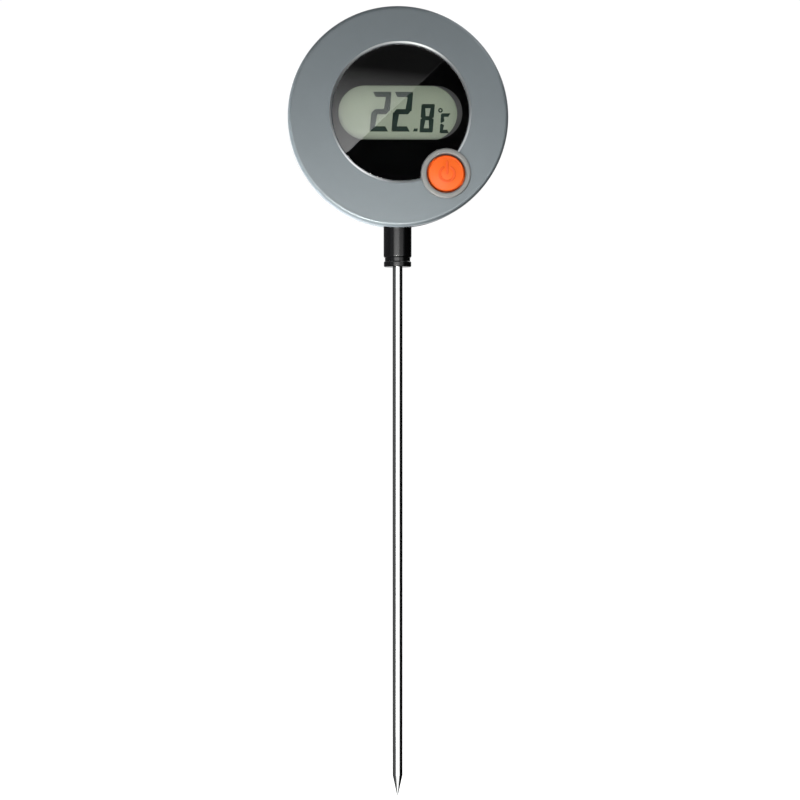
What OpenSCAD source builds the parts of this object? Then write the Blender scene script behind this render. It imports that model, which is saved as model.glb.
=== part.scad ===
// Digital soil thermometer: a round display head on a long, pointed probe stem.
// Millimetres. Z is the stem's axis with the head at the top, and the display faces -Y.
// The origin is on that axis at the ferrule's lower face, where the bare stem begins.

/* [Head] */
// Diameter of the round head
head_d = 83.5; // [83:0.5:86]
// Height of the head's centre above the ferrule's lower face
head_height = 56.5; // [56:0.5:60]
// Radius of the rounding around the front edge
edge_r = 1.3; // [1.0:0.1:1.8]
// Radius of the rounding around the back edge
back_edge_r = 4; // [2.5:0.5:4]

/* [Window] */
// Radius of the round window
window_r = 26.1; // [25.8:0.1:26.6]
// Window's place to the right of the head's centre
window_x = 0.85; // [0:0.05:1.2]
// Window's place above the head's centre
window_y = 1.5; // [0.8:0.1:1.6]
// Width of the visible display
view_w = 47; // [42:0.5:47]
// Height of the visible display
view_h = 20.4; // [18:0.1:21]

/* [Button] */
// Button's place to the right of the head's centre
button_x = 18.1; // [17.5:0.1:18.5]
// Button's place below the head's centre
button_drop = 21.7; // [21.2:0.1:22.5]
// Radius of the button's cap
cap_r = 6.7; // [6.5:0.1:7]
// Outer radius of the raised collar around the button
collar_r = 9.4; // [9:0.05:9.5]

/* [Probe] */
// Diameter of the probe stem
stem_d = 3.8; // [3.6:0.1:4]
// Length of the bare stem with its point
stem_length = 201.75; // [120:0.25:300]
// Length of the ground point
point_length = 7.6; // [5:0.2:10]
// Diameter of the ferrule
ferrule_d = 10.7; // [10.4:0.1:11]

/* [Battery] */
// Angle that the battery door turns to unlock
door_turn = 35; // [30:1:40]
// Width of the coin slot in the battery door
coin_slot_w = 1.8; // [1.6:0.1:2.4]

/* [Hidden] */
$fn = 96;
over = 1; // how far a cutting tool runs past the face that it opens

// Depths in the head, measured forwards from a plane 1.5 mm in front of the stem's axis
stem_depth = -1.5;
face = 9;
plate_back = 7;
skirt_back = 4.4;
parting = 4.2;
rim_front = 6.4;
floor_front = -10;
back = -12;
board_back = -1.4;
board_front = 0.2;
ledge_back = 5.9;
tape_back = 6.7;
mask_back = 6.9;
lens_back = 7;
lens_front = 8.4;

// Head shells
head_r = head_d / 2;
skirt_t = 1.2;
rim_r = head_r - skirt_t - 0.15;
cavity_r = rim_r - 1.4;
housing_r = head_r - 0.25;
draft = 0.3;
chamfer_w = 0.75;
chamfer_h = 0.5;
ledge_r = window_r - 1.6;
lens_r = window_r - 0.1;

// Screws, bosses and board supports, on circles about the head's centre
screw_angles = [90, 210, 330];
screw_circle_r = head_r - 7.55;
boss_r = 3;
boss_back = -2;
tube_r = 3.4;
screw_head_r = 2.3;
screw_head_seat = -8;
screw_r = 1.2;
screw_front = 4;
support_angles = [40, 140, 230];
support_circle_r = 34;
support_r = 1.6;

// Button stack
button_y = -button_drop;
guide_r = 7.27;
collar_bore_r = 7.35;
collar_front = 10.4;
collar_round = 0.6;
cap_front = 9.9;
cap_round = 0.6;
flange_r = 8.1;
flange_back = 5;
flange_front = 5.8;
symbol_h = 0.4;
dome_front = 3.7;
dome_plug_back = 1.65;

// Display stack
glass_w = 50;
glass_h = 25.6;
glass_t = 1.1;
film_t = 0.2;
frame_wall = 1.4;
frame_front = 5.8;
lip_cover = 2.4; // how far the carrier's lip covers the right end of the display
pocket_w = glass_w + 0.2;
pocket_h = glass_h + 0.2;
peg_r = 0.6;
lcd_front = 4.2;
front_glass_back = lcd_front - film_t - glass_t;
rear_glass_back = front_glass_back - glass_t;
reflector_back = rear_glass_back - film_t;
terminal_h = 3.4;

// Battery bay, about the head's centre
lug_angles = [0, 120, 240];
lug_half = 12;
stop_gap = 2;
mouth_r = 13;
track_r = 14.7;
track_back = -10.6;
track_front = -9.2;
well_r = 12.9;
well_front = -4.4;
well_wall = 1.5;
cell_r = 10;
cell_h = 3.2;
cell_back = -8.6;
seal_r = 12.25;
seal_section = 0.5;
seal_depth = -8.45;

// Neck and probe, along the stem's axis
stem_r = stem_d / 2;
stem_end_r = stem_r - 0.2;
stem_bore_r = stem_r - 0.45;
ferrule_r = ferrule_d / 2;
seat_height = head_height - head_r + 0.7;
thread_r = 4;
neck_groove = 0.9;
nut_seat = head_height - head_r + 5.75;
nut_h = 2.5;
neck_top = nut_seat + nut_h + 0.5;
tube_top = neck_top + 1;
nut_flats = 11;
point_z = -stem_length + point_length;
spigot = 4;
bead_z = point_z + spigot + 3;
bead_r = 0.6;
bond_gap = 0.02;
lead_r = 0.35;
lead_x = 0.6;
pad_x = 1.6;

module in_head() { translate([0, stem_depth, head_height]) rotate([90, 0, 0]) children(); }
module at_window() { translate([window_x, window_y, 0]) children(); }
module at_button() { translate([button_x, button_y, 0]) children(); }
module around(angles, r) { for (a = angles) rotate(a) translate([r, 0, 0]) children(); }

module disc(r, low, high) { translate([0, 0, low]) cylinder(r = r, h = high - low); }

module block(w, h, low, high) { translate([-w / 2, -h / 2, low]) cube([w, h, high - low]); }

module ring(outer, inner, low, high) {
    difference() {
        disc(outer, low, high);
        disc(inner, low - over, high + over);
    }
}

// Slot shape with round ends
module pill(w, h, low, high) {
    translate([0, 0, low]) linear_extrude(high - low) {
        square([w - h, h], center = true);
        for (side = [-1, 1]) translate([side * (w - h) / 2, 0]) circle(h / 2);
    }
}

// Rectangle with round corners
module rounded_block(w, h, r, low, high) {
    translate([0, 0, low]) linear_extrude(high - low) {
        square([w - 2 * r, h], center = true);
        square([w, h - 2 * r], center = true);
        for (x = [-1, 1], y = [-1, 1]) translate([x * (w / 2 - r), y * (h / 2 - r)]) circle(r);
    }
}

// Part of a ring, from angle start over angle sweep
module sector(outer, inner, start, sweep, low, high) {
    rotate(start) rotate_extrude(angle = sweep)
        translate([inner, low]) square([outer - inner, high - low]);
}

// Round rod between two points
module rod(from, to, r) {
    way = to - from;
    translate(from) rotate([0, acos(way.z / norm(way)), atan2(way.y, way.x)])
        cylinder(r = r, h = norm(way));
}

// Bezel: flat face, round front edge and a thin skirt over the rear housing's rim
module bezel_profile() {
    difference() {
        union() {
            translate([0, plate_back]) square([head_r - edge_r, face - plate_back]);
            translate([0, skirt_back]) square([head_r, face - edge_r - skirt_back]);
            translate([head_r - edge_r, face - edge_r]) circle(edge_r);
        }
        translate([0, skirt_back - over]) square([head_r - skirt_t, plate_back - skirt_back + over]);
    }
}

module front_bezel() {
    pad_r = collar_r + 1.05;
    color("lightslategray") in_head() difference() {
        union() {
            rotate_extrude() bezel_profile();
            at_window() disc(window_r + 2, ledge_back, plate_back + over);
            at_button() disc(pad_r, ledge_back, plate_back + over);
            around(screw_angles, screw_circle_r) disc(boss_r, boss_back, plate_back + over);
            around(support_angles, support_circle_r) disc(support_r, board_front, plate_back + over);
        }
        at_window() disc(window_r, tape_back, face + over);
        at_window() translate([0, 0, face - chamfer_h])
            cylinder(r1 = window_r, r2 = window_r + chamfer_w * 2, h = chamfer_h * 2);
        difference() {
            at_window() disc(ledge_r, ledge_back - over, tape_back + 0.1);
            at_button() disc(pad_r, ledge_back - 2 * over, face);
        }
        at_button() disc(collar_r + 0.05, tape_back, face + over);
        at_button() disc(collar_bore_r + 0.1, ledge_back - over, face);
        around(screw_angles, screw_circle_r) disc(screw_r + 0.05, boss_back - over, screw_front + 0.5);
    }
}

module button_collar() {
    flat = collar_front - collar_round;
    color("lightgray") in_head() at_button() rotate_extrude() {
        translate([collar_bore_r, tape_back]) square([collar_r - collar_bore_r, flat - tape_back]);
        translate([collar_bore_r + collar_round, flat])
            square([collar_r - collar_bore_r - 2 * collar_round, collar_round]);
        for (r = [collar_bore_r + collar_round, collar_r - collar_round])
            translate([r, flat]) circle(collar_round);
    }
}

// Disc that fills the window, with a bay where the button's collar stands
module window_disc(low, high) {
    difference() {
        at_window() disc(lens_r, low, high);
        at_button() disc(collar_r + 0.1, low - over, high + over);
    }
}

module window_lens() { color("gainsboro", 0.3) in_head() window_disc(lens_back, lens_front); }

// Black print behind the lens, open over the display
module window_mask() {
    color("black") in_head() difference() {
        window_disc(mask_back, lens_back);
        at_window() pill(view_w, view_h, mask_back - over, lens_back + over);
    }
}

module lens_tape() {
    color("dimgray") in_head() difference() {
        at_window() ring(lens_r, ledge_r, tape_back, mask_back);
        at_button() disc(collar_r + 0.1, tape_back - over, mask_back + over);
    }
}

// Generic power sign: an open ring with a bar in its gap
module power_sign(low, high) {
    sign_r = 2.8;
    stroke = 1;
    gap_half = 32;
    translate([0.35, -0.2, 0]) {
        sector(sign_r + stroke / 2, sign_r - stroke / 2, 90 + gap_half, 360 - 2 * gap_half, low, high);
        translate([0, 2.35, 0]) rounded_block(stroke, 5.2, stroke / 2 - 0.05, low, high);
    }
}

// Button: cap, guide, a flange that holds it in, and a post on to the dome
module power_button() {
    round_back = cap_front - cap_round;
    guide_front = 8;
    post_r = 3;
    color("darkorange") in_head() at_button() difference() {
        union() {
            disc(post_r, dome_front + 0.02, flange_front);
            disc(flange_r, flange_back, flange_front);
            disc(guide_r, flange_front, guide_front);
            rotate_extrude() {
                translate([0, guide_front]) square([cap_r, round_back - guide_front]);
                translate([0, round_back]) square([cap_r - cap_round, cap_round]);
                translate([cap_r - cap_round, round_back]) circle(cap_round);
            }
            power_sign(cap_front - 0.1, cap_front + symbol_h);
        }
        ring(cap_r - 0.7, post_r, flange_back - over, guide_front + 0.4);
    }
}

module contact_pill() {
    color("black") in_head() at_button() disc(1.5, dome_plug_back - 0.42, dome_plug_back - 0.02);
}

// Silicone dome that springs the button back
module button_dome() {
    color("white") in_head() at_button() rotate_extrude()
        polygon([[4.5, board_front], [6, board_front], [6, 0.9], [4.9, 0.9], [2.6, 3],
            [2.3, dome_front], [0, dome_front], [0, dome_plug_back], [1.8, dome_plug_back],
            [1.8, 2.7], [2.2, 2.7], [4.5, 0.5]]);
}

// The carrier's four pegs through the board
module at_frame_pegs() {
    for (x = [-1, 1], y = [-8, 8]) translate([x * (pocket_w + frame_wall) / 2, y, 0]) children();
}

// Black carrier that holds the display glass against its front lip
module lcd_frame() {
    color("black") in_head() at_window() difference() {
        union() {
            rounded_block(pocket_w + 2 * frame_wall, pocket_h + 2 * frame_wall, 1.5,
                board_front, frame_front);
            at_frame_pegs() disc(peg_r, board_back - 0.5, board_front + 0.1);
        }
        block(pocket_w, pocket_h, board_front - over, lcd_front);
        translate([-lip_cover / 2, 0, 0])
            pill(view_w + 1 - lip_cover, view_h + 0.6, lcd_front - over, frame_front + over);
    }
}

module lcd_front_polarizer() {
    color("darkseagreen") in_head() at_window()
        block(glass_w - 1.5, glass_h - 2.6, lcd_front - film_t, lcd_front);
}

module lcd_front_glass() {
    color("lightcyan", 0.6) in_head() at_window()
        block(glass_w, glass_h, front_glass_back, front_glass_back + glass_t);
}

// Shorter than the front glass, which leaves its row of terminals bare
module lcd_rear_glass() {
    color("lightblue", 0.6) in_head() at_window() translate([0, terminal_h / 2, 0])
        block(glass_w, glass_h - terminal_h, rear_glass_back, front_glass_back);
}

module lcd_reflector() {
    color("silver") in_head() at_window() translate([0, terminal_h / 2, 0])
        block(glass_w - 1.5, glass_h - terminal_h - 1, reflector_back, rear_glass_back);
}

module lcd_foam_pad() {
    color("gray") in_head() at_window() translate([0, terminal_h / 2, 0])
        block(46, 19, board_front, reflector_back);
}

module zebra_strip() {
    color("pink") in_head() at_window() translate([0, -glass_h / 2 + 1.6, 0])
        block(46, 2.4, board_front, front_glass_back);
}

module circuit_board() {
    color("darkgreen") in_head() difference() {
        disc(cavity_r - 3, board_back, board_front);
        around(screw_angles, screw_circle_r) disc(boss_r + 0.6, board_back - over, board_front + over);
        translate([0, -cavity_r, 0]) block(17, 16, board_back - over, board_front + over);
        at_window() at_frame_pegs() disc(peg_r + 0.1, board_back - over, board_front + over);
    }
}

// Epoxy drop over the bare chip, on the back of the board
module controller_blob() {
    blob_r = 4.5;
    blob_h = 1.2;
    ball_r = (blob_r * blob_r + blob_h * blob_h) / (2 * blob_h);
    color("black") in_head() translate([-16, 22, 0]) intersection() {
        translate([0, 0, board_back - blob_h + ball_r]) sphere(ball_r);
        disc(blob_r + over, board_back - blob_h - over, board_back);
    }
}

module timing_crystal() {
    can_r = 1;
    color("silver") in_head() translate([18, 14, board_back - can_r - 0.05]) {
        rotate([0, 90, 0]) cylinder(r = can_r, h = 6);
        for (y = [-0.45, 0.45]) {
            translate([6, y - 0.15, -0.15]) cube([1.3, 0.3, 0.3]);
            translate([7.3, y - 0.15, -0.15]) cube([0.3, 0.3, can_r + 0.2]);
        }
    }
}

module chip_capacitors() {
    color("tan") in_head() for (i = [0:2]) translate([23.5, -6 + 4 * i, 0])
        block(2, 1.25, board_back - 0.9, board_back);
}

module chip_resistors() {
    color("dimgray") in_head() for (i = [0:4]) translate([-22, -5 - 2 * i, 0])
        block(1.6, 0.8, board_back - 0.5, board_back);
}

module housing_gasket() { color("orangered") in_head() ring(rim_r, cavity_r, rim_front, plate_back); }

// Rear housing's wall: round back edge, a little draft and a stepped rim
module housing_profile() {
    back_r = housing_r - draft;
    inner_round = 2.5;
    difference() {
        union() {
            translate([0, back]) square([back_r - back_edge_r, -back]);
            translate([0, back + back_edge_r]) square([back_r - back_edge_r, -back - back_edge_r]);
            translate([back_r - back_edge_r, back + back_edge_r]) circle(back_edge_r);
            polygon([[0, back + back_edge_r], [back_r, back + back_edge_r],
                [housing_r, parting], [0, parting]]);
            square([rim_r, rim_front]);
        }
        translate([0, floor_front + inner_round]) square([cavity_r, rim_front - floor_front + over]);
        translate([0, floor_front]) square([cavity_r - inner_round, inner_round + over]);
        translate([cavity_r - inner_round, floor_front + inner_round]) circle(inner_round);
    }
}

// Hollow of the battery bay: mouth, entry slots, track with stops, and the well for the cell
module battery_bay() {
    entry_half = lug_half + stop_gap;
    inner_r = well_r - over;
    disc(mouth_r, back - over, track_back + 0.1);
    disc(well_r, track_back, well_front);
    for (a = lug_angles) {
        start = a - door_turn - entry_half;
        sector(track_r, inner_r, start, 2 * entry_half, back - over, track_front);
        sector(track_r, inner_r, start, door_turn + 2 * entry_half, track_back, track_front);
    }
}

// Room for the tails of the two battery contacts through the bay's floor
module contact_slots() {
    for (x = [-7, 12.25]) translate([x, 0, 0]) block(0.7, 2.4, well_front - over, board_back);
}

module rear_housing() {
    neck_boss_r = 7;
    neck_boss_h = 4;
    color("slategray") in_head() difference() {
        union() {
            rotate_extrude() housing_profile();
            disc(track_r + 1.2, back, track_front + 1.2);
            disc(well_r + well_wall, back, well_front + 1.2);
            around(screw_angles, screw_circle_r) disc(tube_r, floor_front - over, boss_back);
            around(support_angles, support_circle_r) disc(support_r, floor_front - over, board_back);
            at_button() disc(support_r, floor_front - over, board_back);
            translate([0, nut_seat - head_height, stem_depth]) rotate([90, 0, 0])
                cylinder(r = neck_boss_r, h = neck_boss_h);
            translate([-neck_boss_r, nut_seat - head_height - neck_boss_h, floor_front - over])
                cube([2 * neck_boss_r, neck_boss_h, stem_depth - floor_front + over]);
        }
        battery_bay();
        contact_slots();
        around(screw_angles, screw_circle_r) {
            disc(screw_head_r + 0.3, back - over, screw_head_seat);
            disc(screw_r + 0.2, screw_head_seat - over, boss_back + over);
        }
        translate([0, -head_height, stem_depth]) rotate([-90, 0, 0]) {
            cylinder(r = thread_r + 0.1, h = nut_seat + over);
            cylinder(r = ferrule_r + 0.45, h = seat_height);
        }
    }
}

module housing_screws() {
    head_back = screw_head_seat - 1.8;
    color("silver") in_head() around(screw_angles, screw_circle_r) difference() {
        union() {
            disc(screw_head_r, head_back, screw_head_seat);
            disc(screw_r, screw_head_seat - 0.1, screw_front);
        }
        for (a = [0, 90]) rotate(a) block(0.7, 2.8, head_back - over, head_back + 0.9);
    }
}

// Bayonet door with three lugs, a sealed plug and a coin slot
module battery_door() {
    lug_r = track_r - 0.4;
    plug_front = -7.6;
    groove_half = seal_section + 0.05;
    color("slategray") in_head() difference() {
        union() {
            disc(mouth_r - 0.2, back + 0.2, track_back - 0.1);
            disc(well_r - 0.5, back + 0.5, track_front + 0.2);
            disc(well_r - 0.08, track_front + 0.05, plug_front);
            for (a = lug_angles)
                sector(lug_r, well_r - 2, a - lug_half, 2 * lug_half, track_back + 0.1, track_front - 0.2);
        }
        ring(well_r + over, seal_r - groove_half, seal_depth - groove_half, seal_depth + groove_half);
        disc(cell_r + 0.6, cell_back - 0.2, plug_front + over);
        pill(16, coin_slot_w, back - over, back + 1.4);
    }
}

module battery_door_seal() {
    color("orangered") in_head() translate([0, 0, seal_depth])
        rotate_extrude() translate([seal_r, 0]) circle(seal_section);
}

// Standard 20 mm by 3.2 mm coin cell, with its smaller negative cap towards the board
module coin_cell() {
    cap_h = 0.5;
    color("silver") in_head() {
        disc(cell_r, cell_back, cell_back + cell_h - cap_h);
        disc(cell_r - 1.3, cell_back + cell_h - cap_h, cell_back + cell_h);
    }
}

// Bent leaf that presses on the cell's negative cap
module battery_contact_negative() {
    leaf_t = 0.3;
    cell_front = cell_back + cell_h;
    color("gold") in_head() {
        rotate([90, 0, 0]) translate([0, 0, -2.5]) linear_extrude(5)
            polygon([[-8, well_front], [4, well_front], [4, well_front - leaf_t], [-6, well_front - leaf_t],
                [3, cell_front + leaf_t], [3, cell_front], [2, cell_front], [-8, well_front - leaf_t]]);
        translate([-7, 0, 0]) block(0.4, 2, well_front - 0.1, board_back);
    }
}

// Upright strip that touches the cell's rim
module battery_contact_positive() {
    strip_t = 0.4;
    color("gold") in_head() {
        translate([cell_r + 0.05, -3, -7.4]) cube([strip_t, 6, well_front + 7.4]);
        translate([cell_r + 0.05, -3, well_front - strip_t]) cube([2.4, 6, strip_t]);
        translate([12.25, 0, 0]) block(strip_t, 2, well_front - 0.1, board_back);
    }
}

// Black ferrule: ring, groove, round body, and a threaded neck with a seal groove in its shoulder
module neck_ferrule() {
    ring_h = 2.2;
    body_low = 3.4;
    soft = 0.5;
    body_soft = 0.9;
    color("black") rotate_extrude() difference() {
        union() {
            translate([0, soft]) square([ferrule_r - 0.1, ring_h - 2 * soft]);
            square([ferrule_r - 0.1 - soft, ring_h]);
            for (z = [soft, ring_h - soft]) translate([ferrule_r - 0.1 - soft, z]) circle(soft);
            square([ferrule_r - 0.5, body_low + over]);
            translate([0, body_low + body_soft]) square([ferrule_r, seat_height - body_low - body_soft]);
            translate([0, body_low]) square([ferrule_r - body_soft, body_soft + over]);
            translate([ferrule_r - body_soft, body_low + body_soft]) circle(body_soft);
            square([thread_r, neck_top]);
        }
        translate([0, -over]) square([stem_end_r + 0.02, neck_top + 2 * over]);
        translate([thread_r, seat_height - neck_groove]) square([1, neck_groove + over]);
    }
}

module neck_oring() {
    color("orangered") translate([0, 0, seat_height - neck_groove / 2])
        rotate_extrude() translate([thread_r + 0.5, 0]) circle(neck_groove / 2 - 0.02);
}

module neck_nut() {
    color("silver") translate([0, 0, nut_seat]) difference() {
        cylinder(r = nut_flats / 2 / cos(30), h = nut_h, $fn = 6);
        translate([0, 0, -over]) cylinder(r = thread_r + 0.03, h = nut_h + 2 * over);
    }
}

// Steel tube, drawn down where the ferrule is moulded around it
module stem_tube() {
    color("gainsboro") difference() {
        union() {
            disc(stem_r, point_z, 0);
            disc(stem_end_r, -over, tube_top);
        }
        disc(stem_bore_r, point_z - over, tube_top + over);
    }
}

module stem_tip() {
    blunt_r = 0.2;
    color("gainsboro") {
        translate([0, 0, -stem_length]) cylinder(r1 = blunt_r, r2 = stem_r, h = point_length);
        disc(stem_bore_r - bond_gap, point_z - 0.1, point_z + spigot);
    }
}

module thermistor_bead() { color("black") translate([0, 0, bead_z]) sphere(bead_r); }

// Two insulated leads from the bead, up the tube and round to the back of the board
module sensor_leads() {
    color("red") for (side = [-1, 1]) {
        bend = [side * lead_x, 0, tube_top - 0.4];
        edge = [side * pad_x, lead_r, tube_top + 1.4];
        end = [side * pad_x, lead_r, tube_top + 4.6];
        rod([side * lead_x, 0, bead_z + bead_r + 0.05], bend, lead_r);
        translate(bend) sphere(lead_r + 0.03);
        rod(bend, edge, lead_r);
        translate(edge) sphere(lead_r + 0.03);
        rod(edge, end, lead_r);
    }
}

// Resin that fills the tube around the bead and the leads' ends
module thermal_potting() {
    fill_above = 16;
    color("lightgray") difference() {
        disc(stem_bore_r - bond_gap, point_z + spigot + bond_gap, bead_z + fill_above);
        translate([0, 0, bead_z]) sphere(bead_r + bond_gap);
        for (side = [-1, 1]) translate([side * lead_x, 0, 0])
            disc(lead_r + bond_gap, bead_z + bead_r, bead_z + fill_above + over);
    }
}

front_bezel();
button_collar();
window_lens();
window_mask();
lens_tape();
power_button();
contact_pill();
button_dome();
lcd_frame();
lcd_front_polarizer();
lcd_front_glass();
lcd_rear_glass();
lcd_reflector();
lcd_foam_pad();
zebra_strip();
circuit_board();
controller_blob();
timing_crystal();
chip_capacitors();
chip_resistors();
housing_gasket();
rear_housing();
housing_screws();
battery_door();
battery_door_seal();
coin_cell();
battery_contact_negative();
battery_contact_positive();
neck_ferrule();
neck_oring();
neck_nut();
stem_tube();
stem_tip();
thermistor_bead();
sensor_leads();
thermal_potting();
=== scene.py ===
"""Digital soil thermometer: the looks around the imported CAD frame.

Metres, in the part's frame: Z runs up the stem and the display faces -Y.
"""
import math

import bmesh
import bpy
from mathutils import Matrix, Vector


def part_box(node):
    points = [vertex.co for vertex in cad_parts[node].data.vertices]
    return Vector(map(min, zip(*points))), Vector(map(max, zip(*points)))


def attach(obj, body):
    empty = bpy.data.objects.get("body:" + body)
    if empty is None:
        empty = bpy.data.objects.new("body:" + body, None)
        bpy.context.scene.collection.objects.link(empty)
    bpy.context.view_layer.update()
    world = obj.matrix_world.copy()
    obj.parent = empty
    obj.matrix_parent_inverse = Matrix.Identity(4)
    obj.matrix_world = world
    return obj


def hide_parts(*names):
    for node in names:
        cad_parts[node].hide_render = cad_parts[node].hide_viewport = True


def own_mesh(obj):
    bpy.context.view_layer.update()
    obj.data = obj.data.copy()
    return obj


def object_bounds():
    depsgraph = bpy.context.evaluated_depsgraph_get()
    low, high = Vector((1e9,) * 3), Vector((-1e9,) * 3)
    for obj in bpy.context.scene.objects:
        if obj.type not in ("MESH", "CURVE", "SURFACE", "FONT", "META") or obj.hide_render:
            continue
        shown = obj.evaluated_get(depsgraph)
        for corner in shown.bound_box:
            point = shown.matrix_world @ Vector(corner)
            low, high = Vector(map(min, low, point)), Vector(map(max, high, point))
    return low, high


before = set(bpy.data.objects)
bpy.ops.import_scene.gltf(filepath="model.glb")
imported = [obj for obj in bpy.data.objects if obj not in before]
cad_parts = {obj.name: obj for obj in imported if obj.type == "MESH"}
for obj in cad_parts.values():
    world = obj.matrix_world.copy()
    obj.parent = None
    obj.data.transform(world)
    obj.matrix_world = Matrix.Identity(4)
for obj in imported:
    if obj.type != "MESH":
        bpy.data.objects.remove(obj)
cad_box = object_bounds()

MM = 0.001

# ---------------------------------------------------------------- places, from the CAD frame


def centre(node):
    """Middle of a CAD node's box."""
    low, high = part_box(node)
    return (low + high) / 2


def half_width(node):
    """Half of a CAD node's width."""
    low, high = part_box(node)
    return (high.x - low.x) / 2


HEAD = centre("front_bezel")
BUTTON = centre("power_button")
COLLAR_R = half_width("button_collar")
LENS_LOW, LENS_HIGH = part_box("window_lens")
LENS_R = (LENS_HIGH.z - LENS_LOW.z) / 2
LENS_GAP = 0.1 * MM  # between the lens and what surrounds it
OPENING_R = LENS_R + LENS_GAP
CHAMFER_W = 0.75 * MM
WINDOW = Vector((LENS_LOW.x + LENS_R, 0, LENS_LOW.z + LENS_R))
LCD_LOW, LCD_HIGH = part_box("lcd_front_polarizer")

# ---------------------------------------------------------------- mesh tools


def piece(name, bm, material, smooth_angle=30):
    """Turns a bmesh into a named object with its finish and smooth shading."""
    mesh = bpy.data.meshes.new(name)
    bmesh.ops.recalc_face_normals(bm, faces=bm.faces)
    bm.to_mesh(mesh)
    bm.free()
    obj = bpy.data.objects.new(name, mesh)
    bpy.context.scene.collection.objects.link(obj)
    mesh.materials.append(material)
    shade(obj, smooth_angle)
    return obj


def shade(obj, angle):
    """Smooth shading that keeps the edges sharper than angle, in degrees."""
    for p in obj.data.polygons:
        p.use_smooth = True
    obj.data.set_sharp_from_angle(angle=math.radians(angle))


def lathe(profile, steps=128):
    """Turns (radius, forward) points, a closed loop, about the forward axis."""
    bm = bmesh.new()
    rings = []
    for r, f in profile:
        if r < 1e-9:
            rings.append([bm.verts.new((0, -f, 0))])
            continue
        rings.append([bm.verts.new((r * math.cos(a), -f, r * math.sin(a)))
                      for a in (2 * math.pi * i / steps for i in range(steps))])
    for low, high in zip(rings, rings[1:] + rings[:1]):
        if len(low) == 1 and len(high) == 1:
            continue
        for i in range(steps):
            j = (i + 1) % steps
            corners = [low[i % len(low)], low[j % len(low)], high[j % len(high)], high[i % len(high)]]
            bm.faces.new(list(dict.fromkeys(corners)))
    return bm


def prism(outlines, back, thick):
    """Extrudes flat (x, z) outlines forwards from the plane y = back."""
    bm = bmesh.new()
    for outline in outlines:
        base = [bm.verts.new((x, back, z)) for x, z in outline]
        lid = [bm.verts.new((x, back - thick, z)) for x, z in outline]
        bm.faces.new(base)
        bm.faces.new(lid[::-1])
        for i in range(len(base)):
            j = (i + 1) % len(base)
            bm.faces.new((base[i], lid[i], lid[j], base[j]))
    return bm


def soften(obj, width, segments=3, angle=30):
    """Rounds the piece's edges with a bevel."""
    bevel = obj.modifiers.new("soft_edge", "BEVEL")
    bevel.width = width
    bevel.segments = segments
    bevel.limit_method = "ANGLE"
    bevel.angle_limit = math.radians(angle)
    bevel.harden_normals = True


def arc(r, start, end, steps, at=(0, 0)):
    """Points (x, z) along an arc, in degrees."""
    angles = [math.radians(start + (end - start) * i / steps) for i in range(steps + 1)]
    return [(at[0] + r * math.cos(a), at[1] + r * math.sin(a)) for a in angles]


# ---------------------------------------------------------------- materials


def surface(name, colour, rough, metallic=0.0, vary=0.06, grain=2500.0, bump=0.15, depth=0.02 * MM,
            rough_vary=0.08, stretch=(1, 1, 1), **sockets):
    """A finish with fine grain: the colour, the roughness and the surface vary with the same noise.

    grain is the noise scale per metre, depth the height of the grain, and vary and rough_vary the shares
    by which colour and roughness change. A stretch below 1 makes the grain longer along that axis.
    """
    fine_share, broad_share = 0.6, 0.4
    broad_over_fine = 40
    mat = bpy.data.materials.new(name)
    mat.use_nodes = True
    nodes, links = mat.node_tree.nodes, mat.node_tree.links
    shader = nodes["Principled BSDF"]
    shader.inputs["Metallic"].default_value = metallic
    for socket, value in sockets.items():
        shader.inputs[socket.replace("_", " ")].default_value = value
    where = nodes.new("ShaderNodeTexCoord")
    mapping = nodes.new("ShaderNodeMapping")
    mapping.inputs["Scale"].default_value = stretch
    links.new(where.outputs["Object"], mapping.inputs["Vector"])
    fine = nodes.new("ShaderNodeTexNoise")
    fine.inputs["Scale"].default_value = grain
    fine.inputs["Detail"].default_value = 3
    broad = nodes.new("ShaderNodeTexNoise")
    broad.inputs["Scale"].default_value = grain / broad_over_fine
    broad.inputs["Detail"].default_value = 2
    for noise in (fine, broad):
        links.new(mapping.outputs["Vector"], noise.inputs["Vector"])
    both = nodes.new("ShaderNodeMath")
    both.operation = "MULTIPLY_ADD"
    both.inputs[1].default_value = fine_share
    part = nodes.new("ShaderNodeMath")
    part.operation = "MULTIPLY"
    part.inputs[1].default_value = broad_share
    links.new(broad.outputs["Fac"], part.inputs[0])
    links.new(fine.outputs["Fac"], both.inputs[0])
    links.new(part.outputs["Value"], both.inputs[2])
    tint = nodes.new("ShaderNodeMix")
    tint.data_type = "RGBA"
    tint.inputs["A"].default_value = [c * (1 - vary) for c in colour] + [1]
    tint.inputs["B"].default_value = [min(1, c * (1 + vary)) for c in colour] + [1]
    links.new(both.outputs["Value"], tint.inputs["Factor"])
    links.new(tint.outputs["Result"], shader.inputs["Base Color"])
    spread = nodes.new("ShaderNodeMapRange")
    spread.inputs["To Min"].default_value = max(0.02, rough * (1 - rough_vary))
    spread.inputs["To Max"].default_value = min(1, rough * (1 + rough_vary))
    links.new(both.outputs["Value"], spread.inputs["Value"])
    links.new(spread.outputs["Result"], shader.inputs["Roughness"])
    if bump:
        relief = nodes.new("ShaderNodeBump")
        relief.inputs["Strength"].default_value = bump
        relief.inputs["Distance"].default_value = depth
        links.new(fine.outputs["Fac"], relief.inputs["Height"])
        links.new(relief.outputs["Normal"], shader.inputs["Normal"])
    return mat


def clear_lens(name):
    """Clear polished acrylic."""
    mat = bpy.data.materials.new(name)
    mat.use_nodes = True
    shader = mat.node_tree.nodes["Principled BSDF"]
    shader.inputs["Base Color"].default_value = (0.97, 0.98, 0.98, 1)
    shader.inputs["Transmission Weight"].default_value = 1
    shader.inputs["Roughness"].default_value = 0.0
    shader.inputs["IOR"].default_value = 1.49
    return mat


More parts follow.
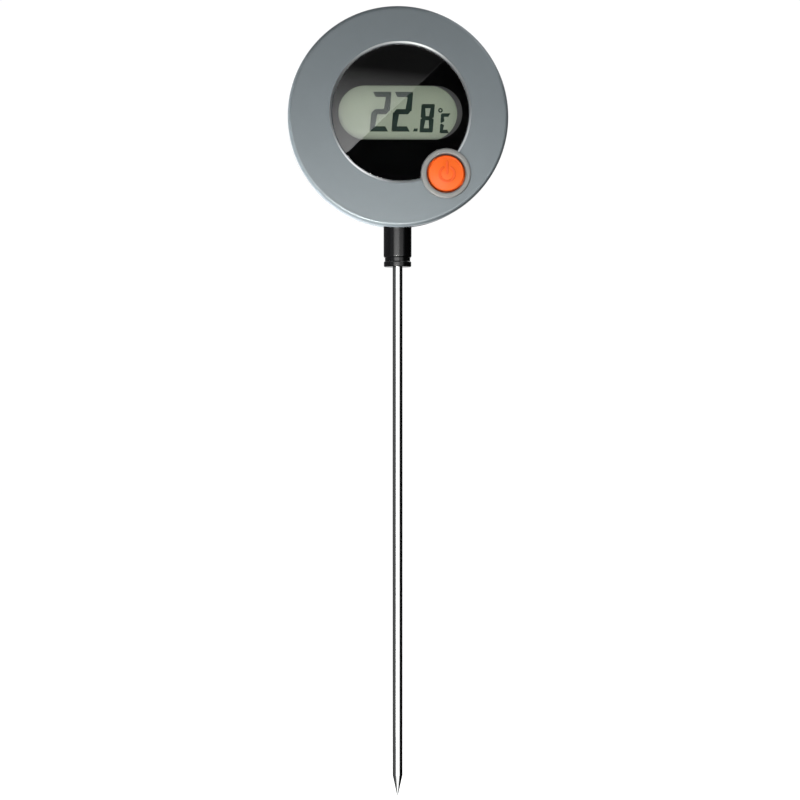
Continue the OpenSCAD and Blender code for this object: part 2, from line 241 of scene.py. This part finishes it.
def cover(mat, socket, factor, value):
    """Mixes value over what the shader's socket already has, by factor."""
    nodes, links = mat.node_tree.nodes, mat.node_tree.links
    target = nodes["Principled BSDF"].inputs[socket]
    mix = nodes.new("ShaderNodeMix")
    mix.data_type = "RGBA" if target.type == "RGBA" else "FLOAT"
    if target.is_linked:
        links.new(target.links[0].from_socket, mix.inputs["A"])
    else:
        mix.inputs["A"].default_value = target.default_value
    mix.inputs["B"].default_value = value
    links.new(factor, mix.inputs["Factor"])
    links.new(mix.outputs["Result"], target)


def paint_chamfer_highlight(mat, inner, outer, colour, rough):
    """Painted highlight on the chamfer around the window: a brighter, fully metallic copy of the paint on the
    ring between two radii from its axis.
    """
    nodes, links = mat.node_tree.nodes, mat.node_tree.links
    where = nodes.new("ShaderNodeTexCoord")
    flat = nodes.new("ShaderNodeVectorMath")
    flat.operation = "MULTIPLY"
    flat.inputs[1].default_value = (1, 0, 1)
    distance = nodes.new("ShaderNodeVectorMath")
    distance.operation = "DISTANCE"
    distance.inputs[1].default_value = WINDOW
    inside = nodes.new("ShaderNodeMath")
    inside.operation = "COMPARE"
    inside.inputs[1].default_value = (inner + outer) / 2
    inside.inputs[2].default_value = (outer - inner) / 2
    links.new(where.outputs["Object"], flat.inputs[0])
    links.new(flat.outputs["Vector"], distance.inputs[0])
    links.new(distance.outputs["Value"], inside.inputs[0])
    for socket, value in (("Base Color", (*colour, 1)), ("Roughness", rough), ("Metallic", 1.0)):
        cover(mat, socket, inside.outputs["Value"], value)


def paint_recess_shade(mat, face, depth, colour):
    """Painted shade in the recesses of a head whose flat face, towards +Y, is at face: the colour turns
    darker below the face.
    """
    nodes, links = mat.node_tree.nodes, mat.node_tree.links
    shade_start = 0.05 * MM  # the first part of the recess stays unshaded, then the painted shade begins
    where = nodes.new("ShaderNodeTexCoord")
    split = nodes.new("ShaderNodeSeparateXYZ")
    links.new(where.outputs["Object"], split.inputs["Vector"])
    below = nodes.new("ShaderNodeMapRange")
    below.inputs["From Min"].default_value = face - shade_start
    below.inputs["From Max"].default_value = face - depth
    links.new(split.outputs["Y"], below.inputs["Value"])
    cover(mat, "Base Color", below.outputs["Result"], (*colour, 1))


PAINT = surface("satin_blue_grey", (0.153, 0.176, 0.190), 0.32, metallic=0.35, vary=0.07, grain=9000,
                bump=0.12, depth=0.01 * MM)
# the painted highlight stops a little short of the chamfer's edges
PAINT_INSIDE, PAINT_OUTSIDE = 0.06 * MM, 0.02 * MM
# painted highlight: the real chamfer is the face's own paint, here made brighter bare metal
paint_chamfer_highlight(PAINT, OPENING_R + PAINT_INSIDE, OPENING_R + CHAMFER_W - PAINT_OUTSIDE,
                   (0.52, 0.535, 0.545), 0.32)
REAR = surface("textured_blue_grey", (0.17, 0.195, 0.21), 0.55, vary=0.08, grain=4200, bump=0.5,
               depth=0.03 * MM)
COLLAR = surface("satin_light_grey", (0.215, 0.213, 0.208), 0.36, metallic=0.1, vary=0.05, grain=8000,
                 bump=0.1, depth=0.01 * MM)
ORANGE = surface("satin_orange", (1.0, 0.145, 0.008), 0.45, vary=0.05, grain=6000, bump=0.25,
                 depth=0.015 * MM, Specular_IOR_Level=0.25)
# a darker copy of the cap's orange for the raised sign: painted shade, since the real sign is the cap's own
# orange
SIGN = surface("satin_orange_sign_painted_shade", (0.9, 0.105, 0.006), 0.4, vary=0.05, grain=6000, bump=0.25,
               depth=0.015 * MM, Specular_IOR_Level=0.25)
MASK = surface("gloss_black_print", (0.0012, 0.0012, 0.0013), 0.5, vary=0.2, grain=3000, bump=0.02,
               Specular_IOR_Level=0.0)
BLACK = surface("matte_black", (0.016, 0.016, 0.017), 0.5, vary=0.15, grain=5000, bump=0.3)
FERRULE = surface("gloss_black", (0.0018, 0.0018, 0.002), 0.16, vary=0.2, grain=900, bump=0.06,
                  depth=0.01 * MM)
STEEL = surface("polished_steel", (0.72, 0.72, 0.72), 0.1, metallic=1, vary=0.03, grain=6000, bump=0.1,
                depth=0.004 * MM, stretch=(1, 1, 0.08), rough_vary=0.3)
BRIGHT = surface("plated_steel", (0.6, 0.6, 0.6), 0.28, metallic=1, vary=0.08, grain=5000, bump=0.2)
SCREW = surface("screw_steel", (0.5, 0.5, 0.5), 0.34, metallic=1, vary=0.1, grain=5000, bump=0.25)
# painted shade in the screws' cross recesses: darker colour below the heads' face
paint_recess_shade(SCREW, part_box("housing_screws")[1].y, 0.4 * MM, (0.03, 0.03, 0.032))
BRASS = surface("brass", (0.62, 0.42, 0.13), 0.25, metallic=1, vary=0.08, grain=4000, bump=0.2)
LCD = surface("display_film", (0.158, 0.186, 0.134), 0.3, vary=0.03, grain=1800, bump=0.0, rough_vary=0.02)
SEGMENT = surface("display_segment", (0.006, 0.014, 0.011), 0.4, vary=0.2, grain=1500, bump=0.0,
                  Specular_IOR_Level=0.1)
GLASS = surface("display_glass", (0.4, 0.45, 0.42), 0.12, vary=0.03, grain=500, bump=0.0)
FOIL = surface("reflector_foil", (0.6, 0.6, 0.58), 0.35, metallic=0.8, grain=3000)
FOAM = surface("foam", (0.06, 0.06, 0.06), 0.9, vary=0.4, grain=1800, bump=0.8, depth=0.1 * MM)
BOARD = surface("solder_resist", (0.01, 0.1, 0.035), 0.3, vary=0.12, grain=900, bump=0.15)
EPOXY = surface("black_epoxy", (0.01, 0.01, 0.01), 0.3, vary=0.2, grain=2500)
CERAMIC = surface("fired_ceramic", (0.4, 0.28, 0.16), 0.6, vary=0.12, grain=4000)
RUBBER = surface("seal_rubber", (0.018, 0.018, 0.018), 0.7, vary=0.2, grain=4000, bump=0.4)
SILICONE = surface("silicone", (0.62, 0.62, 0.6), 0.45, vary=0.04, grain=2500, Subsurface_Weight=0.2)
WIRE = surface("wire_insulation", (0.45, 0.02, 0.015), 0.4, vary=0.08, grain=3000)
RESIN = surface("potting_resin", (0.5, 0.5, 0.48), 0.5, vary=0.08, grain=2500)
LENS = clear_lens("clear_acrylic")

NODE_FINISH = {
    "front_bezel": PAINT, "rear_housing": REAR, "battery_door": REAR, "button_collar": COLLAR,
    "window_mask": MASK, "lens_tape": FOAM, "contact_pill": RUBBER, "lcd_frame": BLACK,
    "lcd_front_glass": GLASS, "lcd_rear_glass": GLASS, "lcd_reflector": FOIL, "lcd_foam_pad": FOAM,
    "zebra_strip": SILICONE, "circuit_board": BOARD, "controller_blob": EPOXY, "timing_crystal": BRIGHT,
    "chip_capacitors": CERAMIC, "chip_resistors": EPOXY, "housing_gasket": RUBBER,
    "housing_screws": SCREW, "battery_door_seal": RUBBER, "coin_cell": BRIGHT,
    "battery_contact_negative": BRASS, "battery_contact_positive": BRASS, "neck_ferrule": FERRULE,
    "neck_oring": RUBBER, "neck_nut": BRASS, "stem_tube": STEEL, "stem_tip": STEEL,
    "thermistor_bead": EPOXY, "sensor_leads": WIRE, "thermal_potting": RESIN,
    "power_button": ORANGE, "window_lens": LENS, "lcd_front_polarizer": LCD, "button_dome": SILICONE,
}


def finish_cad_nodes():
    """Gives every CAD node its material."""
    for name, material in NODE_FINISH.items():
        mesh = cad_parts[name].data
        mesh.materials.clear()
        mesh.materials.append(material)


# ---------------------------------------------------------------- window and display


def make_lens():
    """Clear disc with a softened front edge and a bay around the button's collar."""
    notch_r = COLLAR_R + LENS_GAP
    away = Vector((BUTTON.x - WINDOW.x, BUTTON.z - WINDOW.z))
    gap = away.length
    towards = math.degrees(math.atan2(away.y, away.x))
    bay = math.degrees(math.acos((LENS_R ** 2 + gap ** 2 - notch_r ** 2) / (2 * LENS_R * gap)))
    side = math.degrees(math.acos((notch_r ** 2 + gap ** 2 - LENS_R ** 2) / (2 * notch_r * gap)))
    rim = arc(LENS_R, towards + bay, towards + 360 - bay, 150, (WINDOW.x, WINDOW.z))
    hollow = arc(notch_r, towards + 180 + side, towards + 180 - side, 40, (BUTTON.x, BUTTON.z))
    outline = rim + hollow[1:-1]
    off_mask = 0.02 * MM
    back = LENS_HIGH.y - off_mask
    lens = piece("lens", prism([outline], back, back - LENS_LOW.y), LENS, 40)
    soften(lens, 0.25 * MM, 3, 60)
    lens.visible_shadow = False
    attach(lens, "housing")
    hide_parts("window_lens")


SEGMENTS = {"2": "abged", "8": "abcdefg", "C": "adef"}


def segment_outlines(shown, left, low, width, height, upright, level, lean):
    """Outlines of one digit's bars, with slanted ends and a small gap between bars.

    left and low place its corner, in millimetres from the window's centre. upright and level are the
    widths of the upright and level bars, and lean is the tangent of the digit's slant.
    """
    gap = 0.12
    mid = height / 2
    cut = upright * 0.5
    shapes = {
        "a": [(gap, height), (width - gap, height), (width - gap - cut, height - level),
              (gap + cut, height - level)],
        "d": [(gap, 0), (gap + cut, level), (width - gap - cut, level), (width - gap, 0)],
        "g": [(gap + 0.3 * cut, mid), (gap + cut, mid + level / 2), (width - gap - cut, mid + level / 2),
              (width - gap - 0.3 * cut, mid), (width - gap - cut, mid - level / 2),
              (gap + cut, mid - level / 2)],
        "f": [(0, height - gap), (upright * 0.8, height - gap - level * 0.9), (upright, mid + level * 0.55),
              (upright * 0.3, mid + gap), (0, mid + gap + 0.2)],
        "e": [(0, gap), (upright * 0.8, gap + level * 0.9), (upright, mid - level * 0.55),
              (upright * 0.3, mid - gap), (0, mid - gap - 0.2)],
    }
    shapes["b"] = [(width - x, y) for x, y in shapes["f"]]
    shapes["c"] = [(width - x, y) for x, y in shapes["e"]]
    return [[((left + x + lean * y) * MM + WINDOW.x, (low + y) * MM + WINDOW.z) for x, y in shapes[s]]
            for s in SEGMENTS[shown]]


DIGIT_LEAN = math.tan(math.radians(4.5))
# shown, left, low, width, height, width of upright bars, width of level bars: millimetres
DIGITS = [
    ("2", -11.6, -6.9, 7.1, 15.1, 2.4, 2.0),
    ("2", -3.35, -6.9, 7.1, 15.1, 2.4, 2.0),
    ("8", 7.3, -7.2, 5.05, 10.8, 1.9, 1.6),
    ("C", 14.95, -7.5, 3.7, 7.6, 1.5, 1.35),
]
DECIMAL_POINT = [(4.85, -6.85), (6.5, -6.85), (6.75, -5.7), (5.3, -5.7)]


def make_display():
    """Grey-green film with the dark bars of a sample reading just in front of it."""
    film_t = LCD_HIGH.y - LCD_LOW.y
    outline = [(LCD_LOW.x, LCD_LOW.z), (LCD_HIGH.x, LCD_LOW.z),
               (LCD_HIGH.x, LCD_HIGH.z), (LCD_LOW.x, LCD_HIGH.z)]
    film = piece("display_film", prism([outline], LCD_HIGH.y, film_t), LCD)
    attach(film, "housing")
    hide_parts("lcd_front_polarizer")
    bars = []
    for digit in DIGITS:
        bars += segment_outlines(*digit, DIGIT_LEAN)
    bars.append([(x * MM + WINDOW.x, z * MM + WINDOW.z) for x, z in DECIMAL_POINT])
    degree = (WINDOW.x + 15.3 * MM, WINDOW.z + 1.2 * MM)
    degree_outer, degree_inner, sector = 0.9 * MM, 0.35 * MM, 30
    for a in range(0, 360, sector):
        bars.append(arc(degree_outer, a, a + sector, 2, degree) + arc(degree_inner, a + sector, a, 2, degree))
    off_film, bar_t = 0.01 * MM, 0.02 * MM
    digits = piece("display_digits", prism(bars, LCD_LOW.y - off_film, bar_t), SEGMENT)
    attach(digits, "housing")


# ---------------------------------------------------------------- button


def round_corner(r, f, radius, start, steps=6):
    """Points of a convex corner whose arc centre is (r, f), from start degrees over 90 degrees backwards."""
    return [(r + radius * math.cos(math.radians(start - 90 * i / steps)),
             f + radius * math.sin(math.radians(start - 90 * i / steps))) for i in range(steps + 1)]


SIGN_RISE = 0.4 * MM
CAP_FRONT = -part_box("power_button")[0].y - SIGN_RISE  # the cap's flat front, measured forwards


def make_button():
    """Orange cap, guide, flange and post. The guide sits deep, so that the gap around the cap is dark."""
    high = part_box("power_button")[1]
    flange_r = half_width("power_button")
    cap_r, guide_r, post_r, soft = 6.7 * MM, 7.27 * MM, 3 * MM, 0.6 * MM
    flange_back, flange_front, guide_front = (CAP_FRONT - behind * MM for behind in (4.9, 4.1, 3.4))
    profile = [(0, -high.y), (post_r, -high.y), (post_r, flange_back), (flange_r, flange_back),
               (flange_r, flange_front), (guide_r, flange_front), (guide_r, guide_front),
               (cap_r, guide_front)]
    profile += round_corner(cap_r - soft, CAP_FRONT - soft, soft, 0)
    profile += [(cap_r * 0.5, CAP_FRONT), (0, CAP_FRONT)]
    bm = lathe(profile)
    bmesh.ops.translate(bm, verts=bm.verts, vec=(BUTTON.x, 0, BUTTON.z))
    button = piece("push_button", bm, ORANGE, 35)
    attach(button, "power_button")
    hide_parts("power_button")


def make_sign():
    """Raised power sign on the cap: a ring open at the top, and an upright bar in the opening."""
    # half is half the stroke, and gap half the ring's opening, in degrees
    sign_r, half, gap = 2.8 * MM, 0.5 * MM, 32
    bar_top, bar_low = 4.95 * MM, -0.25 * MM
    sunk = 0.1 * MM
    # a little right of and below the cap's middle
    x, z = BUTTON.x + 0.35 * MM, BUTTON.z - 0.2 * MM
    left, right = (arc(sign_r, 90 + side * gap, 90 + side * gap, 1, (x, z))[0] for side in (1, -1))
    ring = (arc(sign_r + half, 90 + gap, 450 - gap, 60, (x, z))
            + arc(half, 90 - gap, 270 - gap, 8, right)[1:-1]
            + arc(sign_r - half, 450 - gap, 90 + gap, 60, (x, z))
            + arc(half, 270 + gap, 450 + gap, 8, left)[1:-1])
    bar = arc(half, 0, 180, 10, (x, z + bar_top - half)) + arc(half, 180, 360, 10, (x, z + bar_low + half))
    # the sign takes the darker orange, painted shade that sets it off from the cap
    sign = piece("power_sign", prism([ring, bar], -CAP_FRONT + sunk, SIGN_RISE + sunk), SIGN, 60)
    soften(sign, 0.36 * MM, 4, 60)
    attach(sign, "power_button")


def make_dome():
    """Silicone spring dome under the button, in its rest shape; the real dome flattens by the button's travel
    of 1 mm.
    """
    low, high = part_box("button_dome")
    foot = high.y
    tall = high.y - low.y
    outer = half_width("button_dome")
    # radius and height along the section, as shares of the dome's
    skin = [(0.75, 0), (1.0, 0), (1.0, 0.2), (0.86, 0.22), (0.76, 0.32), (0.6, 0.6), (0.48, 0.78),
            (0.42, 0.84), (0.38, 0.96), (0.35, 1.0), (0, 1.0), (0, 0.42), (0.3, 0.42), (0.3, 0.71),
            (0.37, 0.71), (0.5, 0.5), (0.75, 0.09)]
    bm = lathe([(r * outer, f * tall) for r, f in skin], 96)
    bmesh.ops.translate(bm, verts=bm.verts, vec=(BUTTON.x, foot, BUTTON.z))
    dome = piece("button_dome_skin", bm, SILICONE, 50)
    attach(dome, "housing")
    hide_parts("button_dome")
    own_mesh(dome)


# ---------------------------------------------------------------- studio


def look_at(obj, target):
    """Turns a lamp or a camera towards a point."""
    obj.rotation_mode = "QUATERNION"
    obj.rotation_quaternion = (Vector(target) - obj.location).to_track_quat("-Z", "Y")


def lamp(name, kind, place, target, watts, colour=(1, 1, 1)):
    """A lamp that the camera doesn't see."""
    data = bpy.data.lights.new(name, kind)
    data.energy = watts
    data.color = colour
    obj = bpy.data.objects.new(name, data)
    obj.location = place
    bpy.context.scene.collection.objects.link(obj)
    look_at(obj, target)
    obj.visible_camera = False
    return obj


def area_light(name, place, target, size, watts, colour=(1, 1, 1)):
    """A square soft lamp."""
    obj = lamp(name, "AREA", place, target, watts, colour)
    obj.data.shape = "SQUARE"
    obj.data.size = size
    return obj


def spot_light(name, place, target, spread, watts, colour):
    """A soft-edged spot, which fades towards the edge of its cone."""
    data = lamp(name, "SPOT", place, target, watts, colour).data
    data.spot_size = math.radians(spread)
    data.spot_blend = 1
    data.shadow_soft_size = 0.05


def glow_material(name, low, high, direction=(0, 0, 1), start=0.0, end=1.0):
    """Emission that runs from low at start to high at end, measured along a direction."""
    mat = bpy.data.materials.new(name)
    mat.use_nodes = True
    nodes, links = mat.node_tree.nodes, mat.node_tree.links
    nodes.clear()
    out = nodes.new("ShaderNodeOutputMaterial")
    glow = nodes.new("ShaderNodeEmission")
    links.new(glow.outputs["Emission"], out.inputs["Surface"])
    where = nodes.new("ShaderNodeTexCoord")
    along = nodes.new("ShaderNodeVectorMath")
    along.operation = "DOT_PRODUCT"
    along.inputs[1].default_value = direction
    links.new(where.outputs["Object"], along.inputs[0])
    ramp = nodes.new("ShaderNodeMapRange")
    ramp.inputs["From Min"].default_value = start
    ramp.inputs["From Max"].default_value = end
    ramp.inputs["To Min"].default_value = low
    ramp.inputs["To Max"].default_value = high
    links.new(along.outputs["Value"], ramp.inputs["Value"])
    links.new(ramp.outputs["Result"], glow.inputs["Strength"])
    return mat


def even_glow(name, level):
    """Emission of one strength all over."""
    return glow_material(name, level, level)


def card(name, corners, material):
    """A studio panel that shows only in reflections and through clear pieces."""
    mesh = bpy.data.meshes.new(name)
    mesh.from_pydata(corners, [], [tuple(range(len(corners)))])
    obj = bpy.data.objects.new(name, mesh)
    bpy.context.scene.collection.objects.link(obj)
    mesh.materials.append(material)
    obj.visible_camera = False
    obj.visible_diffuse = False
    obj.visible_shadow = False


def wall(name, y, left, right, low, top, material):
    """An upright card that faces along Y."""
    card(name, [(left, y, low), (right, y, low), (right, y, top), (left, y, top)], material)


def make_world():
    """White to the camera, soft grey as a light."""
    world = bpy.data.worlds.new("studio")
    bpy.context.scene.world = world
    world.use_nodes = True
    nodes, links = world.node_tree.nodes, world.node_tree.links
    nodes.clear()
    light_level, camera_level = 0.28, 1.02
    out = nodes.new("ShaderNodeOutputWorld")
    mix = nodes.new("ShaderNodeMixShader")
    path = nodes.new("ShaderNodeLightPath")
    soft = nodes.new("ShaderNodeBackground")
    soft.inputs["Color"].default_value = (0.93, 0.98, 1, 1)
    soft.inputs["Strength"].default_value = light_level
    white = nodes.new("ShaderNodeBackground")
    white.inputs["Color"].default_value = (1, 1, 1, 1)
    white.inputs["Strength"].default_value = camera_level
    links.new(path.outputs["Is Camera Ray"], mix.inputs["Fac"])
    links.new(soft.outputs["Background"], mix.inputs[1])
    links.new(white.outputs["Background"], mix.inputs[2])
    links.new(mix.outputs["Shader"], out.inputs["Surface"])


def make_floor():
    """Pale floor just under the point, left out of reflections and bounced light."""
    size = 3.0
    below = 1 * MM
    z = cad_box[0].z - below
    mesh = bpy.data.meshes.new("floor")
    mesh.from_pydata([(-size, -size, z), (size, -size, z), (size, size, z), (-size, size, z)], [],
                     [(0, 1, 2, 3)])
    floor = bpy.data.objects.new("floor", mesh)
    bpy.context.scene.collection.objects.link(floor)
    mesh.materials.append(surface("pale_floor", (0.4, 0.4, 0.4), 0.8, vary=0.01, grain=40, bump=0.0,
                                  Emission_Color=(1, 1, 1, 1), Emission_Strength=0.9))
    floor.visible_diffuse = False
    floor.visible_glossy = False


def make_lights():
    """Key from the upper right, fills from the left, below and behind, rim lamps and a low spot."""
    head = (WINDOW.x, HEAD.y, HEAD.z)
    area_light("key", (0.52, -0.58, 0.80), head, 0.6, 3.2)
    area_light("low_fill", (-0.06, -0.26, -0.15), head, 0.16, 0.35, (1, 1, 0.93))
    area_light("left_fill", (-0.7, -0.6, 0.5), head, 0.5, 1.0)
    area_light("rim_left", (-0.6, 0.02, -0.22), head, 0.4, 1.5)
    # just behind the head, and too small to reach in front of the face
    rim_y = 0.015
    rim_low = area_light("rim_low", (-0.26, rim_y, -0.17), (WINDOW.x, rim_y, HEAD.z), 0.045, 5.5)
    rim_low.visible_glossy = False
    area_light("back_fill", (0.5, 0.7, 0.6), head, 0.6, 2.2)
    under_head = (0, HEAD.y, HEAD.z - 0.085)
    spot_light("low_spot", (-0.10, -0.62, -0.165), under_head, 23, 9.0, (1, 0.99, 0.93))


def make_cards():
    """Panels behind the camera, at the sides and behind the object, for its reflections."""
    broad = even_glow("card_broad", 1.6)
    bright = even_glow("card_bright", 4.3)
    black = even_glow("card_black", 0.0)
    grey = even_glow("card_grey", 0.08)
    front_y, strip_y, glare_y, edge_y, back_y = -1.26, -1.23, -1.2, -1.199, 1.3
    ground, strip_low = -1.6, -0.6
    front_top, side_top, back_top = 0.115, 0.10, 0.6
    wall("card_front", front_y, -0.87, 1.24, ground, front_top, broad)
    wall("card_strip", strip_y, -0.66, 0.28, strip_low, front_top, bright)
    # the window mirrors this stretch: a soft panel up to a slanted edge, and black beyond it
    glare_low, glare_high, edge_w = 0.128, 0.2863, 1.1 * MM
    edge_low, edge_high = (-0.0568, glare_low), (0.1103, glare_high)
    fade = dict(direction=(-0.1, 0, -0.995), end=-0.155)
    glare = glow_material("card_glare", 0.05, 2.9, start=-0.243, **fade)
    edge = glow_material("card_edge", 0.12, 2.6, start=-0.245, **fade)
    lit = (edge_low, edge_high, (-0.10, 0.30), (-0.12, glare_low))
    unlit = (edge_low, (0.13, glare_low), (0.13, glare_high), edge_high)
    card("card_glare", [(x, glare_y, z) for x, z in lit], glare)
    along = Vector((edge_high[0] - edge_low[0], 0, edge_high[1] - edge_low[1])).normalized()
    across = Vector((-along.z, 0, along.x)) * edge_w
    ends = [Vector((x, edge_y, z)) for x, z in (edge_low, edge_high)]
    card("card_edge", [ends[0], ends[1], ends[1] + across, ends[0] + across], edge)
    card("card_dark", [(x, glare_y, z) for x, z in unlit], black)
    card("card_right", [(0.5, -0.36, ground), (0.5, -0.36, side_top), (0.25, 0.42, side_top),
                        (0.25, 0.42, ground)], black)
    card("card_left", [(-0.5, -0.26, ground), (-0.5, -0.26, side_top), (-0.22, 0.5, side_top),
                       (-0.22, 0.5, ground)], grey)
    behind = even_glow("card_behind", 0.75)
    wall("card_back", back_y, -0.5, 0.35, ground, back_top, behind)


def make_camera():
    """A long lens in front of the object, level with the middle of the stem's upper half."""
    data = bpy.data.cameras.new("camera")
    data.sensor_width = 36
    data.lens = 105.95
    data.clip_start = 0.01
    camera = bpy.data.objects.new("camera", data)
    eye_z = -0.0508
    camera.location = (-0.0226, -0.8997, eye_z)
    bpy.context.scene.collection.objects.link(camera)
    look_at(camera, (0.00094, 0, eye_z))
    bpy.context.scene.camera = camera


finish_cad_nodes()
make_lens()
make_display()
make_button()
make_sign()
make_dome()
make_world()
make_floor()
make_lights()
make_cards()
make_camera()
bpy.context.scene.view_settings.view_transform = "Standard"
